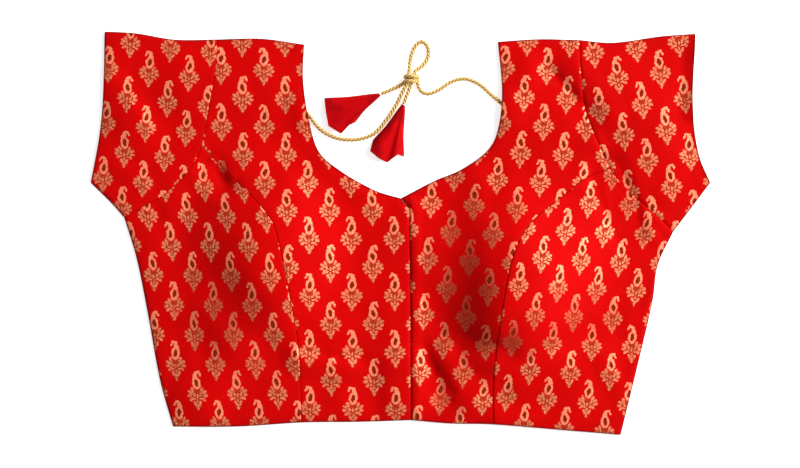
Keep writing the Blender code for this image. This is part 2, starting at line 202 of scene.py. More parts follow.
# The soft roll beside each seam: (share of the groove's depth, distance, half width).
SEAM_ROLL = (0.24, 3.6, 2.2)
# The left princess seam's allowances lift its side panel: (rise, reach).
SEAM_LIFT = (0.6, 7.0)
# The centre edge: its groove (depth, width), the raised band on the left (start, end, rise,
# softness), and the shallow line on the right (depth, distance, width).
CENTRE_GROOVE = (1.0, 1.0)
CENTRE_BAND = (1.4, 9.4, 0.75, 0.5)
CENTRE_LINE_RIGHT = (0.3, 2.0, 0.5)
# The doubled cloth of the turned edges (reach, rise, softness), and how the sewn edges roll down
# (depth, reach).
TURNED_EDGE = (11.0, 0.22, 0.6)
SEWN_ROLL = (1.0, 1.3)
# Painted shade at the outer edges: (share, reach) of a line and of a band.
EDGE_SHADES = ((0.85, 1.5), (0.08, 8.0))

# How each piece was cut: (x and y of one buti with its tip to -x, the turns of the rows and of the
# columns in degrees, how much the piece was eased or drawn in across and up).
BUTI_PITCH = (37.6, 52.8)
CUT = {
    "right_side_front": (-211.3, -62.5, -0.7, 3.9, 0.98, 1.04),
    "right_centre_front": (-85.0, -1.9, 0.0, 0.6, 1.05, 0.99),
    "left_centre_front": (132.1, 103.3, -3.1, -3.7, 1.05, 0.98),
    "left_side_front": (147.3, -46.5, -2.6, -6.5, 0.99, 1.00),
    "right_sleeve": (-231.7, 151.3, -6.3, -3.0, 0.99, 0.96),
    "left_sleeve": (222.0, 122.3, 7.8, 5.7, 1.05, 1.00),
    "back": (0.0, -60.0, 0.0, 0.0, 1.0, 1.0),
}


def smooth_line(points, step):
    """A Catmull-Rom line through the points, and the index in it of each of them."""
    knots = np.array(points, float)
    before = 2 * knots[0] - knots[1]
    after = 2 * knots[-1] - knots[-2]
    knots = np.vstack([before, knots, after])
    line = [knots[1]]
    rows = [0]
    for p0, p1, p2, p3 in zip(knots[:-3], knots[1:-2], knots[2:-1], knots[3:]):
        count = max(1, round(float(np.linalg.norm(p2 - p1)) / step))
        for t in np.arange(1, count + 1) / count:
            bend = (2 * p0 - 5 * p1 + 4 * p2 - p3) * t**2 + (3 * p1 - p0 - 3 * p2 + p3) * t**3
            line.append(0.5 * (2 * p1 + (p2 - p0) * t + bend))
        rows.append(len(line) - 1)
    return np.array(line), rows


def travelled_along(line):
    """How far each point of a line is from its start, along the line."""
    return np.concatenate([[0], np.cumsum(np.linalg.norm(np.diff(line, axis=0), axis=1))])


def places_on(line, spots):
    """The places that lie as far along a line as the spots say."""
    travelled = travelled_along(line)
    return np.column_stack([np.interp(spots, travelled, column) for column in line.T])


def unit(rows):
    """Each row as a vector of length 1."""
    return rows / np.linalg.norm(rows, axis=-1, keepdims=True)


def seam(side, name, step=EDGE_STEP):
    """A seam or an edge of one half, as a smooth line."""
    return smooth_line(side[name], step)[0]


def seams(names, step):
    return [seam(side, name, step) for side in (RIGHT, LEFT) for name in names]


def split_seam(side, name):
    """The two parts of a seam that the princess seam ends in."""
    line, rows = smooth_line(side[name], EDGE_STEP)
    middle = rows[PRINCESS_ROW[name]]
    return line[: middle + 1], line[middle:]


def outline_of(*lines):
    """One closed anticlockwise loop of points from lines that follow each other end to end."""
    loop = [lines[0][0]]
    for line in lines:
        for point in line:
            if np.linalg.norm(point - loop[-1]) > 0.01:
                loop.append(point)
    if np.linalg.norm(loop[0] - loop[-1]) < 0.01:
        loop.pop()
    loop = np.array(loop)
    following = np.roll(loop, -1, axis=0)
    area = np.sum(loop[:, 0] * following[:, 1] - following[:, 0] * loop[:, 1])
    return loop if area > 0 else loop[::-1]


def inset(loop, amount):
    """The anticlockwise loop moved inward by the amount, with mitred corners."""
    ahead = unit(np.roll(loop, -1, axis=0) - loop)
    normal_ahead = np.stack([-ahead[:, 1], ahead[:, 0]], axis=1)
    normal_behind = np.roll(normal_ahead, 1, axis=0)
    bisector = unit(normal_ahead + normal_behind)
    share = np.maximum(np.sum(bisector * normal_ahead, axis=1), 0.2)
    return loop + bisector * (amount / share)[:, None]


def nearest_on(points, line):
    """How far each point is from the line, and how far along the line the nearest place is."""
    start = line[:-1]
    along = line[1:] - start
    lengths = np.linalg.norm(along, axis=1)
    travelled = np.concatenate([[0], np.cumsum(lengths)[:-1]])
    distance = np.empty(len(points))
    place = np.empty(len(points))
    for first in range(0, len(points), BATCH):
        part = slice(first, first + BATCH)
        offset = points[part, None] - start
        share = np.clip(np.sum(offset * along, axis=2) / lengths**2, 0, 1)
        gap = np.linalg.norm(offset - share[..., None] * along, axis=2)
        closest = gap.argmin(axis=1)
        rows = np.arange(len(closest))
        distance[part] = gap[rows, closest]
        place[part] = travelled[closest] + share[rows, closest] * lengths[closest]
    return distance, place


def distance_to(points, line):
    return nearest_on(points, line)[0]


def inside(points, loop):
    """Whether each point is inside the loop, by the crossings of a ray along +X."""
    end = np.roll(loop, -1, axis=0)
    found = np.empty(len(points), bool)
    slope = (end[:, 0] - loop[:, 0]) / np.where(end[:, 1] == loop[:, 1], 1.0, end[:, 1] - loop[:, 1])
    for first in range(0, len(points), BATCH):
        part = slice(first, first + BATCH)
        x, y = points[part, None, 0], points[part, None, 1]
        spans = (loop[:, 1] > y) != (end[:, 1] > y)
        crossing = loop[:, 0] + (y - loop[:, 1]) * slope
        found[part] = np.sum(spans & (x < crossing), axis=1) % 2 == 1
    return found


def bump(share):
    """A smooth hill: 1 where the share is 0, and 0 from 1 outward."""
    return np.clip(1 - share**2, 0, 1) ** 2


def bell(share):
    """A smooth hill that fades away outward: 1 where the share is 0."""
    return np.exp(-(share**2))


def ease_in(share):
    """A smooth step from 0 to 1 about where the share is 0."""
    return 1 / (1 + np.exp(-share))


def waves(points, length, seed):
    """Smooth unevenness between about -1 and 1, with hills about that long."""
    places = np.column_stack([points / length, np.full(len(points), seed)])
    return np.array([noise.noise(Vector(place)) for place in places]) * 2


SEWN_EDGES = seams(("side", "shoulder", "sleeve_top", "sleeve_under"), 6.0)
OPEN_EDGES = seams(("hem", "sleeve_hem", "neck"), 4.0)
OUTER_EDGES = seams(("hem", "side", "sleeve_under", "sleeve_hem", "sleeve_top", "shoulder", "neck"), 4.0)
FRONT_SEAMS = [(seam(side, name), look) for side, name, *look in SEAM_LOOKS]
RIDGE_LINE = seam(LEFT, "princess")
CENTRE = smooth_line(CENTRE_EDGE, EDGE_STEP)[0]
CENTRE_LINE = np.vstack([CENTRE, RIGHT["neck"][:1]])


def distance_to_any(points, lines):
    return np.min([distance_to(points, line) for line in lines], axis=0)


def is_past(points, line):
    """Whether each point lies on the +X side of a line that runs up the blouse."""
    return points[:, 0] > np.interp(points[:, 1], line[:, 1], line[:, 0])


def fold_heights(points, folds, edge):
    """What a table of folds adds at each point, fading out toward the sewn edges."""
    total = np.zeros(len(points))
    for start_x, start_y, end_x, end_y, half_width, height in folds:
        fold = np.array([(start_x, start_y), (end_x, end_y)])
        share = distance_to(points, fold) / (2 * half_width)
        total += height * bump(share) * (1 - np.exp(-edge / half_width))
    return total


def bust_loft(x, y):
    """The height of both busts, without the ridge of the seam."""
    total = np.zeros_like(x)
    for centre_x, centre_y, low_width, high_width, half_length, height in BUSTS:
        half_width = np.where(x < centre_x, low_width, high_width)
        total += height * bump(np.hypot((x - centre_x) / half_width, (y - centre_y) / half_length))
    return total


def ridge_loft(points):
    """The height of the ridge along the left princess seam, with its crest on the seam."""
    middle, half_length, low_reach, high_reach, height = SEAM_RIDGE
    distance = distance_to(points, RIDGE_LINE)
    low_side = np.clip(1 - distance / low_reach, 0, 1) ** 2
    across = np.where(is_past(points, RIDGE_LINE), bump(distance / high_reach), low_side)
    return height * bump((points[:, 1] - middle) / half_length) * across


def form_top(points):
    """The form of the CAD front: height of its upper face above the table."""
    x, y = points[:, 0], points[:, 1]
    edge = distance_to_any(points, SEWN_EDGES)
    hem = distance_to_any(points, OPEN_EDGES)
    pressed = 1 - HEM_PRESS * np.exp(-hem / HEM_REACH)
    loft = EDGE_LOFT + AIR_LOFT * (1 - np.exp(-edge / AIR_REACH)) * pressed
    loft += bust_loft(x, y) + ridge_loft(points)
    loft += fold_heights(points, FOLDS, edge)
    for centre_x, centre_y, half_width, height in CORD_LIFTS:
        loft += height * bump(np.hypot(x - centre_x, y - centre_y) / half_width)
    return 2 * WALL + SEAM_GAP + np.maximum(loft, 0), edge


def pucker_wave(place):
    """Uneven ripples at places along a seam, of three wavelengths."""
    return np.sin(place / 2.6 + 2.2 * np.sin(place / 17.0)) + 0.6 * np.sin(place / 6.1)


def front_top(points):
    """The front's upper face with its creases, seam grooves, puckers and turned edges."""
    height, edge = form_top(points)
    height += fold_heights(points, CREASES, edge)
    for rise, length, seed in WAVES:
        height += rise * waves(points, length, seed) * (1 - np.exp(-edge / WAVE_FADE))
    roll, roll_place, roll_width = SEAM_ROLL
    for line, (depth, width, pucker) in FRONT_SEAMS:
        distance, place = nearest_on(points, line)
        height += pucker * pucker_wave(place) * np.exp(-distance / PUCKER_REACH)
        height += roll * depth * bell((distance - roll_place) / roll_width)
        height -= depth * bell(distance / width)
    rise, reach = SEAM_LIFT
    lifted = is_past(points, RIDGE_LINE) & (points[:, 1] < RIDGE_LINE[-1, 1])
    height += np.where(lifted, rise * np.exp(-distance_to(points, RIDGE_LINE) / reach), 0)
    distance = distance_to(points, CENTRE_LINE)
    depth, width = CENTRE_GROOVE
    height -= depth * bell(distance / width)
    near, far, rise, softness = CENTRE_BAND
    band = rise * ease_in((distance - near) / softness) * ease_in((far - distance) / softness)
    depth, line_place, width = CENTRE_LINE_RIGHT
    height += np.where(is_past(points, CENTRE), band, -depth * bell((distance - line_place) / width))
    reach, rise, softness = TURNED_EDGE
    height += rise * ease_in((reach - distance_to_any(points, OPEN_EDGES)) / softness)
    depth, reach = SEWN_ROLL
    height -= depth * bell(edge / reach)
    return np.maximum(height, LEAST_UNDERSIDE + SHELL)


def back_top(points):
    return np.full(len(points), WALL)


def cloth_uv(points, cut):
    """Where each point lies in the uncut cloth, in repeats of the buti."""
    centre_x, centre_y, row_turn, column_turn, wide, high = cut
    x = points[:, 0] - centre_x
    y = points[:, 1] - centre_y
    row = math.radians(row_turn)
    column = math.radians(column_turn)
    shared = math.cos(row - column)
    along = (x * math.cos(column) + y * math.sin(column)) / shared
    up = (y * math.cos(row) - x * math.sin(row)) / shared
    return np.column_stack([along / (BUTI_PITCH[0] * wide), up / (BUTI_PITCH[1] * high)])


def edge_shade(points):
    """How much painted shade each point gets for being near an outer edge."""
    distance = distance_to_any(points, OUTER_EDGES)
    return np.max([share * bell(distance / reach) for share, reach in EDGE_SHADES], axis=0)


def painted_buti_shade(points):
    """How much painted shade the silk of the buti gets at each point."""
    total = np.zeros(len(points))
    for centre_x, centre_y, half_width, half_length, share in PAINTED_BUTI_SHADE_PATCHES:
        across = (points[:, 0] - centre_x) / half_width
        along = (points[:, 1] - centre_y) / half_length
        total = np.maximum(total, share * np.sqrt(bump(np.hypot(across, along) / 1.3)))
    return total


def form_stretch(points):
    """How much further a point lies along the cloth than on the table, across and up, because the
    cloth climbs the bust."""
    cell = 3.0
    low = np.array([-300.0, -198.0])
    xs = np.arange(low[0], -low[0] + cell, cell)
    ys = np.arange(low[1], -low[1] + cell, cell)
    z = bust_loft(*np.meshgrid(xs, ys, indexing="ij"))
    slope_x, slope_y = np.gradient(z, cell)
    extra_x = np.cumsum(np.sqrt(1 + slope_x**2) - 1, axis=0) * cell
    extra_y = np.cumsum(np.sqrt(1 + slope_y**2) - 1, axis=1) * cell
    extra_x -= extra_x[len(xs) // 2]
    extra_y -= extra_y[:, len(ys) // 2][:, None]
    place = (points - low) / cell
    cell_index = np.clip(place.astype(int), 0, [len(xs) - 2, len(ys) - 2])
    share = place - cell_index
    column, row = cell_index[:, 0], cell_index[:, 1]
    result = []
    for extra in (extra_x, extra_y):
        near = extra[column, row] * (1 - share[:, 1]) + extra[column, row + 1] * share[:, 1]
        far = extra[column + 1, row] * (1 - share[:, 1]) + extra[column + 1, row + 1] * share[:, 1]
        result.append(near * (1 - share[:, 0]) + far * share[:, 0])
    return np.column_stack(result)


def add_object(name, data):
    obj = bpy.data.objects.new(name, data)
    bpy.context.scene.collection.objects.link(obj)
    return obj


def build_mesh(name, corners, faces, uv, material):
    """An object from corners in millimetres, with a uv for each corner."""
    mesh = bpy.data.meshes.new(name)
    mesh.from_pydata((corners * MM).tolist(), [], faces)
    layer = mesh.uv_layers.new(name="cloth")
    loops = np.empty(len(mesh.loops), np.int32)
    mesh.loops.foreach_get("vertex_index", loops)
    layer.data.foreach_set("uv", uv[loops].astype(np.float32).ravel())
    mesh.shade_smooth()
    mesh.materials.append(material)
    return add_object(name, mesh)


def faces_between(size, first_row, second_row):
    """The faces between two rings of corners, each ring a row of that size."""
    first, second = first_row * size, second_row * size
    return [
        [first + index, first + (index + 1) % size, second + (index + 1) % size, second + index]
        for index in range(size)
    ]


def store_painted_shade(obj):
    """Stores on the mesh the painted shade of its edges and of its buti's silk, for the brocade to read."""
    corners = np.array([corner.co for corner in obj.data.vertices])[:, :2] / MM
    for name, values_at in (("edge_shade", edge_shade), ("painted_buti_shade", painted_buti_shade)):
        layer = obj.data.attributes.new(name, "FLOAT", "POINT")
        layer.data.foreach_set("value", values_at(corners).astype(np.float32))


def add_panel(name, loop, top_of, spacing, material, cut, stretched=True):
    """A cut panel as a thin closed shell: its face, its reverse, and a rounded edge between."""
    loop = inset(loop, PANEL_CLEARANCE)
    rim_loop = inset(loop, RIM)
    closed = np.vstack([loop, loop[:1]])
    low, high = loop.min(axis=0), loop.max(axis=0)
    rows = np.arange(low[1], high[1], spacing * math.sqrt(0.75))
    lattice = np.vstack([
        np.column_stack([xs, np.full(len(xs), y)])
        for row, y in enumerate(rows)
        for xs in [np.arange(low[0] + spacing / 2 * (row % 2), high[0], spacing)]
    ])
    lattice = lattice[inside(lattice, loop)]
    lattice = lattice[distance_to(lattice, closed) > EDGE_RINGS[-1] + 0.6 * spacing]
    rings = []
    for amount in EDGE_RINGS:
        ring = inset(loop, amount)
        ring = ring[inside(ring, loop)]
        rings.append(ring[distance_to(ring, closed) > 0.93 * amount])
    flat = [Vector(point) for point in np.vstack([rim_loop, *rings, lattice])]
    corners, _, faces = delaunay_2d_cdt(flat, [], [list(range(len(rim_loop)))], 1, 1e-5)[:3]
    corners = np.array([tuple(corner) for corner in corners])
    count, edge_count = len(corners), len(loop)
    top = top_of(corners)
    face = np.column_stack([corners, top])
    reverse = np.column_stack([corners, top - SHELL])
    edge = np.column_stack([loop, top[:edge_count] - SHELL / 2])
    all_faces = [list(triangle) for triangle in faces]
    all_faces += [[index + count for index in reversed(triangle)] for triangle in faces]
    for index in range(edge_count):
        after = (index + 1) % edge_count
        all_faces.append([index, 2 * count + index, 2 * count + after, after])
        all_faces.append([2 * count + index, count + index, count + after, 2 * count + after])
    places = corners + (form_stretch(corners) if stretched else 0)
    uv = cloth_uv(places, cut)
    all_uv = np.vstack([uv, uv, uv[:edge_count]])
    return build_mesh(name, np.vstack([face, reverse, edge]), all_faces, all_uv, material)


def add_pressed_tube(name, plan, top_of, across, stations, material, uv_of):
    """A flattened tube of cloth on the table, folded or sewn along both long edges and open at
    both ends. plan gives the place for a share along and shares across, and top_of its height."""
    outer = []
    inner = []
    for station in stations:
        line = plan(station, across)
        travelled = travelled_along(line)
        from_edge = np.minimum(travelled, travelled[-1] - travelled)
        top = top_of(line, station, across)
        middle = top / 2
        radius = np.minimum(FOLD_RADIUS, middle + 0.2)
        fullness = np.sqrt(np.clip(1 - (1 - np.clip(from_edge / radius, 0, 1)) ** 2, 0, 1))
        upper = middle + (top - middle) * fullness
        lower = middle - middle * fullness
        outer.append(np.vstack([np.column_stack([line, upper]), np.column_stack([line, lower])[-2:0:-1]]))
        shrink = min(0.45, SHELL / max(travelled[-1], 1e-6))
        inner_line = plan(station, shrink + across * (1 - 2 * shrink))
        inner_upper = np.maximum(upper - SHELL, middle + 0.02)
        inner_lower = np.minimum(lower + SHELL, middle - 0.02)
        inner_top = np.column_stack([inner_line, inner_upper])
        inner_bottom = np.column_stack([inner_line, inner_lower])
        inner.append(np.vstack([inner_top, inner_bottom[-2:0:-1]]))
    first_cap = (outer[0] + inner[0]) / 2
    last_cap = (outer[-1] + inner[-1]) / 2
    toward = unit(outer[-1].mean(axis=0) - outer[-2].mean(axis=0))
    last_cap += toward * RIM
    first_cap -= toward * 0.02
    skins = [first_cap, *outer, last_cap, *inner[::-1]]
    faces = []
    for row in range(len(skins)):
        faces += faces_between(len(outer[0]), row, (row + 1) % len(skins))
    corners = np.vstack(skins)
    return build_mesh(name, corners, faces, uv_of(corners), material)


def graded(length, step, first_steps):
    """Shares from 0 to 1 along a length, with the given small steps near both ends."""
    near = np.array(first_steps) / length
    middle = np.linspace(near[-1], 1 - near[-1], max(3, round(length / step)))
    return np.concatenate([near[:-1], middle, 1 - near[:-1][::-1]])


def add_sleeve(name, side, material, cut):
    """A short sleeve pressed flat: folded at its top, sewn beneath, open at armhole and hem."""

    def along(line, share):
        return places_on(line, np.asarray(share) * travelled_along(line)[-1])

    armhole = seam(side, "armhole", 1.0)
    hem = seam(side, "sleeve_hem", 1.0)
    top_edge = seam(side, "sleeve_top", 1.0)
    under_edge = seam(side, "sleeve_under", 1.0)

    def plan(station, across):
        line = along(armhole, across) * (1 - station) + along(hem, across) * station
        top_shift = along(top_edge, [station])[0] - (armhole[0] * (1 - station) + hem[0] * station)
        under_shift = along(under_edge, [station])[0] - (armhole[-1] * (1 - station) + hem[-1] * station)
        reach = 0.16
        near_top = np.clip(1 - across / reach, 0, 1) ** 2
        near_under = np.clip(1 - (1 - across) / reach, 0, 1) ** 2
        return line + near_top[:, None] * top_shift + near_under[:, None] * under_shift

    about_width, about_length = 190.0, 100.0
    across = graded(about_width, EDGE_STEP, (0.0, 0.15, 0.5, 1.0, 1.6, 2.4))
    stations = graded(about_length, EDGE_STEP, (0.0, 0.5, 1.0, 1.7, 2.8))
    return add_pressed_tube(
        name, plan, lambda line, station, share: front_top(line), across, stations, material,
        lambda corners: cloth_uv(corners[:, :2], cut),
    )


# Routes of the two tie cords, as points (x, y, height of the cord's middle). The right cord runs
# under its neck edge, up through the knot, round the loop, and back down to its tassel. The left
# cord comes over to the knot, wraps it, and leaves to its own tassel.
RIGHT_CORD = [
    (-92, 117.4, 2), (-84.2, 108.4, 2), (-73.6, 95.4, 2), (-58.4, 87.6, 2),
    (-40, 86.4, 2), (-24.6, 91.6, 2), (-13.2, 104, 2.2), (-5.2, 116, 3.2),
    (0.4, 127, 4.8), (5.4, 136.6, 5.7), (7.3, 144, 5.7), (8, 151.4, 4.4),
    (9.6, 161.6, 2.6), (13.4, 171.8, 2), (19.4, 176.8, 2), (25, 172, 2),
    (25.6, 162.6, 2), (20.6, 154.4, 2.8), (14, 149.4, 4.4), (11.1, 143.2, 5.7),
    (9.2, 135.8, 5), (6.2, 127.8, 3.4), (4, 121.4, 2.6), (3.2, 118.7, 2.4),
]
LEFT_CORD_TO_KNOT = [
    (95.4, 117.4, 2), (84.6, 127, 2), (72.4, 137.6, 2), (59, 142.4, 2),
    (46.8, 139.4, 2), (36, 132.4, 2), (26.4, 128.6, 2), (20, 130.4, 2),
    (16.8, 135, 2), (15.7, 140, 2), (16, 143.8, 3.2),
]
LEFT_CORD_FROM_KNOT = [
    (2.6, 138, 3.6), (-0.2, 136.2, 2.2), (-3.6, 134.6, 2), (-7.6, 132.8, 2),
    (-12.4, 130.6, 2), (-17.6, 128.6, 2),
]
# The left cord's turns round the bundle: (middle, lean in degrees, reach across, reach up, rise a
# turn, turns). It wraps downward, so its rise is below zero.
KNOT_WRAP = ((9.3, 142.0, 5.7), -9.0, 5.0, 3.8, -4.6, 1.5)
ROPE_LOBES = 3
ROPE_PITCH = 10.5
ROPE_RING_STEP = 0.55
ROPE_RING_POINTS = 27

# Each tassel is a folded cone of cloth lying flat: its tip, the points of its zigzag hem from one
# edge to the other, and its folds as (share across, half width, height at the hem).
TASSELS = {
    "tassel_left": {
        "tip": (-19.6, 128),
        "hem": [(-70.2, 124.8), (-68.6, 111), (-66.3, 98.8), (-54.7, 91.8), (-48, 99.4), (-42, 102)],
        "folds": [(0.16, 0.10, 1.4), (0.47, 0.16, 1.2), (0.78, 0.10, 2)],
    },
    "tassel_right": {
        "tip": (2.8, 118.2),
        "hem": [(3.4, 70.6), (-2.4, 72.8), (-12, 65.2), (-20, 69), (-28.1, 75.8), (-25.4, 86)],
        "folds": [(0.18, 0.10, 1.8), (0.42, 0.10, -0.9), (0.66, 0.14, 2.2)],
    },
}
TASSEL_RISE = 5.6
TASSEL_EDGE_RISE = 1.8
TASSEL_TIP_WIDTH = 3.6
TASSEL_TIP_RISE = 3.8
TASSEL_WAIST = 0.10
# Its unevenness, as (height, length, seed).
TASSEL_WAVES = (0.35, 14.0, 2.7)


def smooth_route(points, step):
    """A route read at even steps along a smooth line through its points."""
    line = smooth_line(points, 0.4)[0]
    length = travelled_along(line)[-1]
    return places_on(line, np.linspace(0, length, round(length / step) + 1)), length


def wrap_points():
    """Points of the left cord round the bundle, over its top first."""
    middle, lean, across, up, rise, turns = KNOT_WRAP
    angles = np.radians(np.arange(0, 360 * turns + 1, 30))
    along = rise * (angles - angles[-1] / 2) / (2 * math.pi)
    lean = math.radians(lean)
    x = across * np.cos(angles) * math.cos(lean) - along * math.sin(lean)
    y = across * np.cos(angles) * math.sin(lean) + along * math.cos(lean)
    return np.column_stack([x, y, up * np.sin(angles)]) + middle


def lobe_radius(angle):
    """The outline of a rope's cut: three round strands about its middle."""
    strand = CORD_DIAMETER / 2 * 0.54
    off_centre = CORD_DIAMETER / 2 - strand
    spread = 2 * math.pi / ROPE_LOBES
    lean = (angle + spread / 2) % spread - spread / 2
    return off_centre * np.cos(lean) + np.sqrt(strand**2 - (off_centre * np.sin(lean)) ** 2)


def add_rope(name, route, material):
    """A three-strand twisted cord along a route. Returns the object, its ring centres in metres
    and its length in metres."""
    centres, length = smooth_route(route, ROPE_RING_STEP)
    heading = unit(np.gradient(centres, axis=0))
    side = unit(np.cross(heading[0], (0.0, 0.0, 1.0)))
    size = ROPE_RING_POINTS
    ring_angles = np.arange(size) * 2 * math.pi / size
    radius = lobe_radius(ring_angles)[:, None]
    rings = []
    uv = []
    for index, (centre, forward) in enumerate(zip(centres, heading)):
        side = unit(side - forward * np.dot(side, forward))
        upward = np.cross(side, forward)
        travelled = index * length / (len(centres) - 1)
        around = (ring_angles + travelled / ROPE_PITCH * 2 * math.pi)[:, None]
        rings.append(centre + radius * (np.cos(around) * side + np.sin(around) * upward))
        uv.append(np.column_stack([ring_angles / (2 * math.pi), np.full(size, travelled / 10)]))
    corners = np.vstack([*rings, centres[:1], centres[-1:]])
    faces = []
    for row in range(len(rings) - 1):
        faces += faces_between(size, row, row + 1)
    start, end = len(corners) - 2, len(corners) - 1
    last = (len(rings) - 1) * size
    faces += [[start, (index + 1) % size, index] for index in range(size)]
    faces += [[end, last + index, last + (index + 1) % size] for index in range(size)]
    all_uv = np.vstack([*uv, uv[0][:1], uv[-1][:1]])
    return build_mesh(name, corners, faces, all_uv, material), centres * MM, length * MM


def add_tassel(name, shape, material):
    """A folded cone of cloth lying flat, open at its zigzag hem."""
    tip = np.array(shape["tip"], float)
    hem = np.array(shape["hem"], float)
    hem_share = travelled_along(hem)
    hem_length = hem_share[-1]
    hem_share /= hem_length
    side_way = unit(hem[-1] - hem[0])

    def plan(station, across):
        at_hem = places_on(hem, across * hem_length)
        at_tip = tip + side_way * (across[:, None] - 0.5) * TASSEL_TIP_WIDTH
        line = at_tip * (1 - station) + at_hem * station
        middle = (hem[0] + hem[-1]) / 2 * station + tip * (1 - station)
        waist = 1 - TASSEL_WAIST * math.sin(math.pi * station) ** 2
        return middle + (line - middle) * waist

    def top_of(line, station, across):
        rise = TASSEL_TIP_RISE + (TASSEL_RISE - TASSEL_TIP_RISE) * station
        crown = np.sin(np.pi * np.clip(across, 0, 1)) ** 0.85
        height = TASSEL_EDGE_RISE + (rise - TASSEL_EDGE_RISE) * crown
        for centre, half_width, lift in shape["folds"]:
            height += lift * station * bump((across - centre) / (2 * half_width))
        rise, length, seed = TASSEL_WAVES
        return height + rise * waves(line, length, seed) * station

    about_width, about_length = 46.0, 52.0
    across = graded(about_width, 0.9, (0.0, 0.15, 0.5, 1.0))
    across = np.unique(np.concatenate([across, hem_share]))
    stations = graded(about_length, 1.2, (0.0, 0.3, 0.8, 1.5))
    return add_pressed_tube(
        name, plan, top_of, across, stations, material, lambda corners: (corners[:, :2] - tip) / 10
    )


# Materials. Colours are linear.
RED = (0.54, 0.0011, 0.0013, 1.0)
RED_DEEP = (0.48, 0.0010, 0.0012, 1.0)
BUTI_LIGHT = (0.96, 0.38, 0.21, 1.0)
BUTI_PEACH = (0.90, 0.19, 0.10, 1.0)
BUTI_TAN = (0.44, 0.052, 0.018, 1.0)
BUTI_OLIVE = (0.24, 0.020, 0.005, 1.0)
BUTI_HOLE = (0.20, 0.012, 0.003, 1.0)
TASSEL_RED = (0.46, 0.0014, 0.0030, 1.0)
TASSEL_DEEP = (0.26, 0.0010, 0.0026, 1.0)
CORD_GOLD = (0.82, 0.54, 0.18, 1.0)
CORD_SHADE = (0.42, 0.23, 0.05, 1.0)
# The next colour is painted shade at the outer edges.
PAINTED_EDGE_SHADE = (0.10, 0.0010, 0.0012, 1.0)
# The next colour is painted shade on the buti's silk.
BUTI_PAINTED_SHADE_COLOUR = (0.50, 0.016, 0.010, 1.0)
RED_SHINE = (1.0, 0.12, 0.1, 1.0)
THREAD = 0.42
YARNS_AROUND = 18
# Depths of the relief of the weave and of the silk, in metres.
THREAD_DEPTH = 0.00006
SILK_DEPTH = 0.00012
BUTI_SIZE = 1.06

# The parts of one buti in millimetres about its middle, with its tip curling to -x:
# (x, y, turn in degrees, half length, half width).
PAISLEY = [
    (0.3, 5.8, 84, 5.5, 3.7),
    (1.4, 10.8, 107, 4.2, 1.9),
    (-0.4, 15, 163, 2.8, 1.1),
    (-3.1, 13.4, 66, 1.9, 0.9),
]
PAISLEY_HOLE = (0.2, 6, 78, 3.4, 1.7)
# The petals are drawn on both sides of the buti's middle line.
PETALS = [
    (4.2, 0.4, 66, 2.3, 1.25),
    (6.5, -1.6, 34, 2.2, 1.3),
    (7, -4.6, -4, 2, 1.25),
    (5.2, -7.4, -42, 2.2, 1.25),
    (3, -3.6, 58, 2.2, 1),
    (2.9, -7, 12, 1.4, 0.9),
    (2.2, -11.2, 62, 2.5, 1.2),
]
BUD = [(0, -14.4, 90, 2.7, 1.1), (0, -9.2, 90, 1.7, 0.8), (0, -4.8, 90, 1.9, 0.8)]
GROUND = [(4, -3.3, 8, 5, 4.6)]
BUD_GROUND = (0, -11, 90, 5.4, 3.3)
BUTI_MASKS = ("Drop", "Petals", "Ground", "Hole")


class Graph:
    """A material's or group's node tree, with a short way to add each kind of node."""

    def __init__(self, tree):
        self.tree = tree

    def node(self, kind, **settings):
        made = self.tree.nodes.new(kind)
        for key, value in settings.items():
            setattr(made, key, value)
        return made

    def plug(self, socket, value):
        if isinstance(value, bpy.types.NodeSocket):
            self.tree.links.new(value, socket)
        else:
            socket.default_value = value

    def fill(self, made, values):
        """Sets or links each named input of a node."""
        for name, value in values.items():
            self.plug(made.inputs[name], value)
        return made

    def math(self, operation, *values):
        made = self.node("ShaderNodeMath", operation=operation)
        for socket, value in zip(made.inputs, values):
            self.plug(socket, value)
        return made.outputs[0]

    def vector(self, operation, *values, result=0):
        made = self.node("ShaderNodeVectorMath", operation=operation)
        for socket, value in zip(made.inputs, values):
            self.plug(socket, value)
        return made.outputs[result]

    def step(self, value, start, end):
        """0 below start and 1 above end, smooth between."""
        made = self.node("ShaderNodeMapRange", interpolation_type="SMOOTHSTEP", clamp=True)
        return self.fill(made, {"Value": value, "From Min": start, "From Max": end}).outputs["Result"]

    def mix(self, share, first, second):
        made = self.node("ShaderNodeMix", data_type="RGBA")
        self.plug(made.inputs[0], share)
        self.plug(made.inputs[6], first)
        self.plug(made.inputs[7], second)
        return made.outputs[2]

    def noise(self, vector, scale, detail=2.0, roughness=0.5, colour=False):
        values = {"Vector": vector, "Scale": scale, "Detail": detail, "Roughness": roughness}
        made = self.fill(self.node("ShaderNodeTexNoise"), values)
        return made.outputs["Color" if colour else "Fac"]

    def bump(self, height, strength, distance):
        values = {"Height": height, "Strength": strength, "Distance": distance}
        return self.fill(self.node("ShaderNodeBump"), values)

    def uv(self):
        return self.node("ShaderNodeUVMap", uv_map="cloth").outputs[0]

    def stored(self, name):
        """A number that the mesh stores at its points."""
        made = self.node("ShaderNodeAttribute", attribute_type="GEOMETRY", attribute_name=name)
        return made.outputs["Fac"]

    def parts(self, vector):
        made = self.node("ShaderNodeSeparateXYZ")
        self.plug(made.inputs[0], vector)
        return made.outputs

    def oval(self, vector, shape):
        """1 on the rim of an oval, less inside it and more outside."""
        x, y, turn, half_length, half_width = shape
        made = self.fill(self.node("ShaderNodeMapping", vector_type="TEXTURE"), {
            "Vector": vector,
            "Location": (x, y, 0),
            "Rotation": (0, 0, math.radians(turn)),
            "Scale": (half_length, half_width, 1),
        })
        return self.vector("LENGTH", made.outputs[0], result=1)

    def ovals(self, vector, shapes):
        nearest = None
        for shape in shapes:
            found = self.oval(vector, shape)
            nearest = found if nearest is None else self.math("MINIMUM", nearest, found)
        return nearest


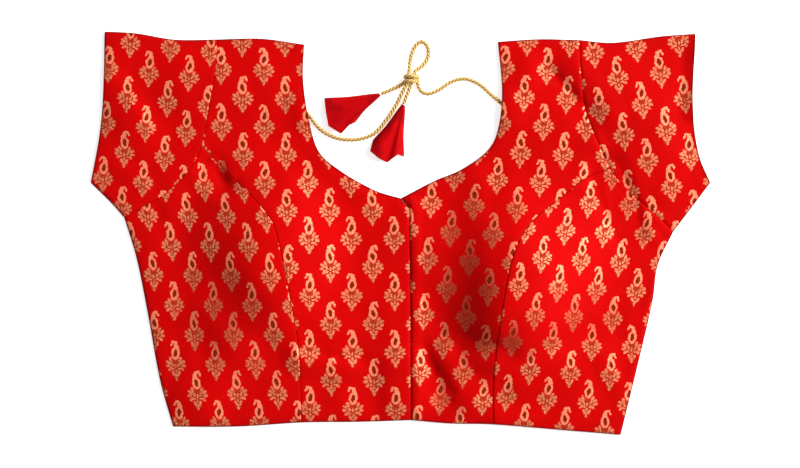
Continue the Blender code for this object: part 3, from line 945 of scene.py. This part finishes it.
def buti_group():
    """One buti: from a place in millimetres about its middle to the masks of its silk."""
    tree = bpy.data.node_groups.new("buti", "ShaderNodeTree")
    tree.interface.new_socket("Place", in_out="INPUT", socket_type="NodeSocketVector")
    for name in BUTI_MASKS:
        tree.interface.new_socket(name, in_out="OUTPUT", socket_type="NodeSocketFloat")
    graph = Graph(tree)
    place = graph.node("NodeGroupInput").outputs["Place"]
    parts = graph.parts(place)
    mirrored = {"X": graph.math("ABSOLUTE", parts[0]), "Y": parts[1]}
    folded = graph.fill(graph.node("ShaderNodeCombineXYZ"), mirrored).outputs[0]
    drop = graph.ovals(place, PAISLEY)
    hole = graph.oval(place, PAISLEY_HOLE)
    petals = graph.math("MINIMUM", graph.ovals(folded, PETALS), graph.ovals(place, BUD))
    ground = graph.math("MINIMUM", graph.ovals(folded, GROUND), graph.oval(place, BUD_GROUND))
    body = graph.math("SUBTRACT", 1.0, graph.step(drop, 0.9, 1.08))
    body = graph.math("MULTIPLY", body, graph.step(hole, 0.88, 1.16))
    around = graph.step(drop, 1.04, 1.22)
    petal = graph.math("SUBTRACT", 1.0, graph.step(petals, 0.8, 1.1))
    graph.fill(graph.node("NodeGroupOutput"), {
        "Drop": body,
        "Petals": graph.math("MULTIPLY", petal, around),
        "Ground": graph.math("SUBTRACT", 1.0, graph.step(ground, 0.82, 1.04)),
        "Hole": graph.math("SUBTRACT", 1.0, graph.step(hole, 0.8, 1.2)),
    })
    return tree


def new_material(name):
    material = bpy.data.materials.new(name)
    material.use_nodes = True
    graph = Graph(material.node_tree)
    return material, graph, material.node_tree.nodes["Principled BSDF"]


def weave_bump(graph, place, strength, distance, pitch):
    """Fine crossing threads, as a bump on a place in millimetres."""
    rate = 2 * math.pi / pitch
    across, along = graph.parts(place)[:2]
    warp = graph.math("SINE", graph.math("MULTIPLY", across, rate))
    weft = graph.math("SINE", graph.math("MULTIPLY", along, rate))
    return graph.bump(graph.math("MULTIPLY", warp, weft), strength, distance)


def brocade_material():
    material, graph, shader = new_material("red_brocade")
    uv = graph.uv()
    place = graph.vector("MULTIPLY", uv, (*BUTI_PITCH, 1.0))
    wobble = graph.noise(place, 0.33, 1.0, colour=True)
    wobble = graph.vector("SUBTRACT", wobble, (0.5, 0.5, 0.5))
    wobble = graph.vector("MULTIPLY", wobble, (2.2, 2.2, 0.0))
    drawn_by = buti_group()
    masks = {}
    for shift, flip in ((0.5, 1.0), (0.0, -1.0)):
        cell = graph.vector("FRACTION", graph.vector("ADD", uv, (shift, shift, 0.0)))
        cell = graph.vector("SUBTRACT", cell, (0.5, 0.5, 0.0))
        cell = graph.vector("ADD", graph.vector("MULTIPLY", cell, (*BUTI_PITCH, 0.0)), wobble)
        cell = graph.vector("MULTIPLY", cell, (flip / BUTI_SIZE, 1 / BUTI_SIZE, 0.0))
        buti = graph.node("ShaderNodeGroup", node_tree=drawn_by)
        graph.plug(buti.inputs["Place"], cell)
        for name in BUTI_MASKS:
            found = buti.outputs[name]
            masks[name] = graph.math("MAXIMUM", masks[name], found) if name in masks else found

    floats = graph.noise(graph.vector("MULTIPLY", place, (0.5, 1.8, 1.0)), 1.0, 2.0, 0.6)
    knots = graph.noise(place, 0.85, 2.0, 0.55)
    broad = graph.noise(place, 0.02, 2.0)
    silk = graph.math("MAXIMUM", masks["Drop"], masks["Petals"])
    silk = graph.math("MULTIPLY", silk, graph.step(floats, 0.24, 0.42))
    tan = graph.mix(graph.step(knots, 0.42, 0.6), BUTI_OLIVE, BUTI_TAN)
    bright = graph.mix(graph.step(floats, 0.40, 0.66), BUTI_PEACH, BUTI_LIGHT)
    petal = graph.mix(graph.step(knots, 0.36, 0.62), BUTI_TAN, BUTI_PEACH)
    petal = graph.mix(graph.step(floats, 0.48, 0.64), petal, BUTI_LIGHT)
    bright = graph.mix(masks["Drop"], petal, bright)
    colour = graph.mix(graph.step(broad, 0.3, 0.75), RED, RED_DEEP)
    colour = graph.mix(graph.math("MULTIPLY", masks["Ground"], 0.9), colour, tan)
    colour = graph.mix(masks["Hole"], colour, BUTI_HOLE)
    # Painted shade on the buti's silk.
    bright = graph.mix(graph.stored("painted_buti_shade"), bright, BUTI_PAINTED_SHADE_COLOUR)
    colour = graph.mix(silk, colour, bright)
    # Painted shade along the outer edges.
    colour = graph.mix(graph.stored("edge_shade"), colour, PAINTED_EDGE_SHADE)
    weave = weave_bump(graph, place, 0.35, THREAD_DEPTH, THREAD)
    graph.plug(weave.inputs["Normal"], graph.bump(silk, 0.5, SILK_DEPTH).outputs[0])
    graph.fill(shader, {
        "Base Color": colour,
        "Metallic": graph.math("MULTIPLY", silk, 0.5),
        "Roughness": graph.math("SUBTRACT", 0.6, graph.math("MULTIPLY", silk, 0.08)),
        "Specular IOR Level": 0.10,
        "Specular Tint": RED_SHINE,
        "Sheen Weight": 0.03,
        "Sheen Roughness": 0.4,
        "Sheen Tint": (1.0, 0.1, 0.08, 1.0),
        "Normal": weave.outputs[0],
    })
    return material


def tassel_material():
    material, graph, shader = new_material("plain_red_cloth")
    place = graph.vector("MULTIPLY", graph.uv(), (10.0, 10.0, 1.0))
    slub = graph.noise(graph.vector("MULTIPLY", place, (0.25, 2.0, 1.0)), 0.9, 2.0)
    broad = graph.step(graph.noise(place, 0.05, 1.0), 0.42, 0.6)
    colour = graph.mix(graph.math("MULTIPLY", slub, 0.3), TASSEL_RED, TASSEL_DEEP)
    colour = graph.mix(graph.math("MULTIPLY", broad, 0.8), colour, TASSEL_DEEP)
    graph.fill(shader, {
        "Base Color": colour,
        "Roughness": 0.6,
        "Specular IOR Level": 0.10,
        "Specular Tint": RED_SHINE,
        "Normal": weave_bump(graph, place, 0.4, THREAD_DEPTH, THREAD).outputs[0],
    })
    return material


def cord_material():
    material, graph, shader = new_material("gold_cord")
    uv = graph.uv()
    around, along = graph.parts(uv)[:2]
    strand_angle = graph.math("MULTIPLY", around, 2 * math.pi * ROPE_LOBES)
    groove = graph.math("MULTIPLY", graph.math("ADD", graph.math("COSINE", strand_angle), 1.0), 0.5)
    yarn_angle = graph.math("MULTIPLY", around, 2 * math.pi * YARNS_AROUND)
    yarn = graph.math("SINE", graph.math("ADD", yarn_angle, graph.math("MULTIPLY", along, 60.0)))
    fleck = graph.noise(graph.vector("MULTIPLY", uv, (9.0, 14.0, 1.0)), 2.0, 2.0)
    # Painted shade in the grooves between the strands, and darker random flecks of the yarn.
    shade = graph.math("MULTIPLY", graph.step(groove, 0.05, 0.75), graph.step(fleck, 0.2, 0.5))
    graph.fill(shader, {
        "Base Color": graph.mix(shade, CORD_SHADE, CORD_GOLD),
        "Metallic": 0.2,
        "Roughness": 0.42,
        "Normal": graph.bump(yarn, 0.6, SILK_DEPTH).outputs[0],
    })
    return material


def floor_material():
    material, graph, shader = new_material("pale_table")
    graph.fill(shader, {
        "Base Color": (0.96, 0.96, 0.965, 1.0),
        "Roughness": 0.9,
        "Specular IOR Level": 0.1,
        "Emission Color": (1.0, 1.0, 1.0, 1.0),
        "Emission Strength": 0.6,
    })
    return material


def add_camera():
    """Straight above the blouse, with the whole of it in view as laid."""
    frame_width = 0.736
    lens = 100.0
    sensor = 36.0
    aim_x, aim_y, aim_height = -0.0005, -0.0009, 0.008
    camera = bpy.data.cameras.new("camera")
    camera.lens = lens
    camera.sensor_width = sensor
    obj = add_object("camera", camera)
    obj.location = (aim_x, aim_y, aim_height + frame_width * lens / sensor)
    bpy.context.scene.camera = obj


def add_studio():
    """A white sky, one large lamp from the wearer's left, and the table."""
    sky_strength = 0.36
    key_place = Vector((4.48, 1.8, 3.13))
    key_size = 3.6
    key_power = 660.0
    table_reach = 4.0
    table_drop = 0.0002
    world = bpy.data.worlds.new("studio")
    world.use_nodes = True
    background = world.node_tree.nodes["Background"]
    background.inputs["Color"].default_value = (1.0, 1.0, 1.0, 1.0)
    background.inputs["Strength"].default_value = sky_strength
    bpy.context.scene.world = world
    bpy.context.scene.view_settings.view_transform = "Standard"
    light = bpy.data.lights.new("key", "AREA")
    light.shape = "DISK"
    light.size = key_size
    light.energy = key_power
    lamp = add_object("key", light)
    lamp.location = key_place
    lamp.rotation_euler = (-key_place).to_track_quat("-Z", "Y").to_euler()
    mesh = bpy.data.meshes.new("table")
    corners = [(x * table_reach, y * table_reach, 0) for x, y in ((-1, -1), (1, -1), (1, 1), (-1, 1))]
    mesh.from_pydata(corners, [], [(0, 1, 2, 3)])
    mesh.materials.append(floor_material())
    floor = add_object("table", mesh)
    floor.location = (0, 0, -table_drop)


def declare_cloth(obj, node, layers):
    """One sheet of cloth that stands for a CAD node: it goes under the root and the node is hidden.
    Its flat size is measured, all round where it has two layers, and not used further."""
    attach(obj, "root")
    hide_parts(node)
    corners = np.array([corner[:] for corner in obj.bound_box])
    width, length = (corners.max(axis=0) - corners.min(axis=0))[:2]
    width *= layers


def front_outlines(side):
    """The outlines of the centre front and the side front of one half."""
    hem_centre, hem_side = split_seam(side, "hem")
    armhole_upper, armhole_lower = split_seam(side, "armhole")
    princess = seam(side, "princess")[::-1]
    centre_front = outline_of(
        hem_centre[::-1], CENTRE, seam(side, "neck"), seam(side, "shoulder"), armhole_upper, princess
    )
    side_front = outline_of(hem_side, seam(side, "side")[::-1], armhole_lower[::-1], princess)
    return {"centre_front": centre_front, "side_front": side_front}


def back_outline():
    names = ("hem", "side", "armhole", "shoulder", "back_neck")
    hem, side, armhole, shoulder, neck = (seam(RIGHT, name) for name in names)
    left_hem, left_side, left_armhole, left_shoulder, left_neck = (seam(LEFT, name) for name in names)
    return outline_of(
        hem, side[::-1], armhole[::-1], shoulder[::-1], neck,
        left_neck[::-1], left_shoulder, left_armhole, left_side, left_hem[::-1],
    )


def main():
    add_camera()
    add_studio()
    brocade = brocade_material()
    plain = tassel_material()
    gold = cord_material()
    left_cord = np.vstack([LEFT_CORD_TO_KNOT, wrap_points(), LEFT_CORD_FROM_KNOT])
    right_rope, right_path, right_length = add_rope("dori_right_rope", RIGHT_CORD, gold)
    left_rope, left_path, left_length = add_rope("dori_left_rope", left_cord, gold)
    tassels = {node: add_tassel(node + "_cloth", shape, plain) for node, shape in TASSELS.items()}

    panels = {}
    for label, side in (("right", RIGHT), ("left", LEFT)):
        for part, outline in front_outlines(side).items():
            node = f"{label}_{part}"
            panels[node] = add_panel(node + "_cloth", outline, front_top, FRONT_SPACING, brocade, CUT[node])
        node = label + "_sleeve"
        panels[node] = add_sleeve(node + "_cloth", side, brocade, CUT[node])
    panels["back"] = add_panel(
        "back_cloth", back_outline(), back_top, BACK_SPACING, brocade, CUT["back"], stretched=False
    )
    for node, obj in panels.items():
        store_painted_shade(obj)
        layers = 2 if "sleeve" in node else 1
        declare_cloth(obj, node, layers)
    for node, obj in tassels.items():
        declare_cloth(obj, node, 2)

    right_nodes = ("dori_right", "dori_loop", "dori_right_tail")
    left_nodes = ("dori_left", "dori_left_tail", "dori_knot")
    cords = (
        (right_rope, right_path, right_length, "tassel_right", right_nodes),
        (left_rope, left_path, left_length, "tassel_left", left_nodes),
    )
    for rope, path, length, tassel, nodes in cords:
        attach(rope, "root")
        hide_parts(*nodes)


main()
